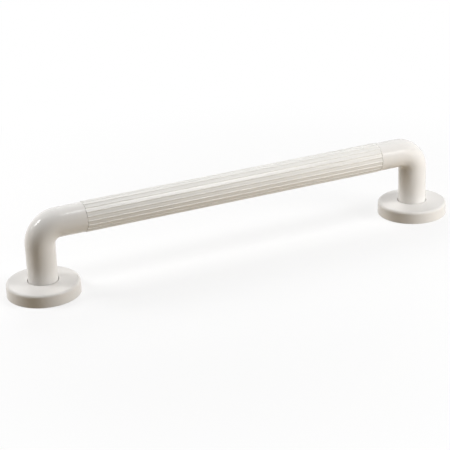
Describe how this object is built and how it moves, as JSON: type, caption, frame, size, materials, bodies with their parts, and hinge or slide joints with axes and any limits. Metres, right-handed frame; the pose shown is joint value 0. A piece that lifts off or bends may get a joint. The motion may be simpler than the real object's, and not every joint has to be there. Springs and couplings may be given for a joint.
{
  "type": "grab bar",
  "caption": "Straight plastic grab bar: a fluted round grip between two elbow legs with wall flanges, under domed round covers that slide up the legs to reach the screws.",
  "frame": {"origin": "on the wall face, midway between the two legs", "axes": "+X along the bar, +Y across it, +Z away from the wall"},
  "size_m": [0.537, 0.08, 0.0937],
  "materials": {
    "white_upvc": "extruded, satin",
    "white_abs": "moulded, semi-gloss",
    "aluminium": "mill",
    "plated_steel": "zinc plated"
  },
  "bodies": {
    "bar": {"fluted_sleeve": "white_upvc", "core_tube": "aluminium", "left_elbow": "white_abs", "right_elbow": "white_abs", "retaining_screws": "plated_steel"},
    "left_cover": {"left_flange_cover": "white_abs"},
    "right_cover": {"right_flange_cover": "white_abs"}
  },
  "joints": [
    {"name": "left_cover_slide", "type": "slide", "parent": "bar", "child": "left_cover", "axis": [0, 0, 1], "range_m": [0, 0.04]},
    {"name": "right_cover_slide", "type": "slide", "parent": "bar", "child": "right_cover", "axis": [0, 0, 1], "range_m": [0, 0.04]}
  ]
}
